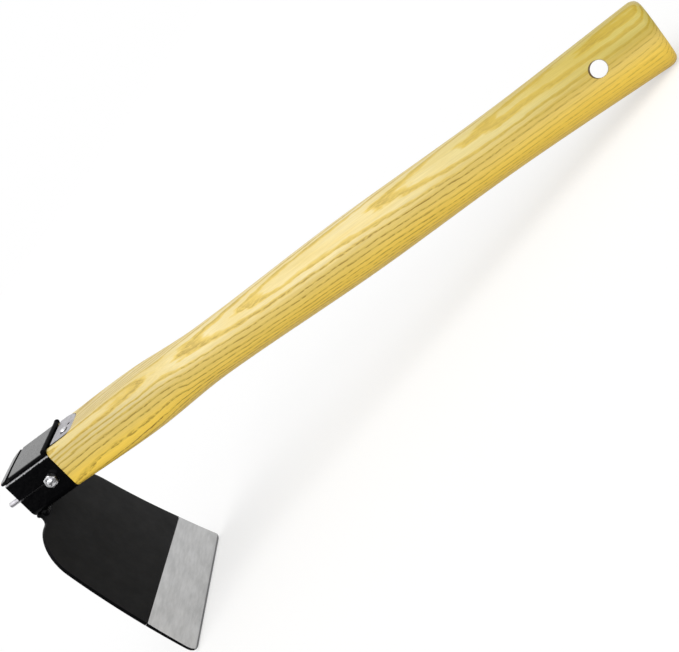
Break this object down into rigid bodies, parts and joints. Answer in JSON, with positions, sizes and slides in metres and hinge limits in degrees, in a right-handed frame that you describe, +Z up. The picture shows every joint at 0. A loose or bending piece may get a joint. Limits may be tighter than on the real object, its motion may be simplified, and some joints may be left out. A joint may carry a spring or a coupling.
{
  "type": "japanese hoe",
  "caption": "Short-handled hoe: broad dished steel blade under a folded socket, wedged, nailed and bolted on an oval wooden handle with a hanging hole.",
  "frame": {"origin": "on the ground under the centre of the bounding box, with the tool set down on its cutting edge and the underside of the butt", "axes": "+X along the tool from the head to the butt, +Y across the handle away from the nut's side, +Z up from the ground"},
  "size_m": [0.418, 0.1124, 0.1389],
  "materials": {
    "varnished_ash": "gloss varnish",
    "black_enamel": "gloss",
    "black_paint": "satin",
    "ground_steel": "ground",
    "zinc_plate": "satin"
  },
  "bodies": {
    "root": {"handle": "varnished_ash", "socket_channel": "black_enamel", "top_plate": "black_enamel", "blade": "black_paint", "cutting_edge": "ground_steel", "weld_back": "black_enamel", "weld_front": "black_enamel", "wedge": "zinc_plate", "wedge_nail": "zinc_plate", "cross_bolt": "zinc_plate", "bolt_nut": "zinc_plate", "locking_pin": "zinc_plate"}
  },
  "joints": []
}
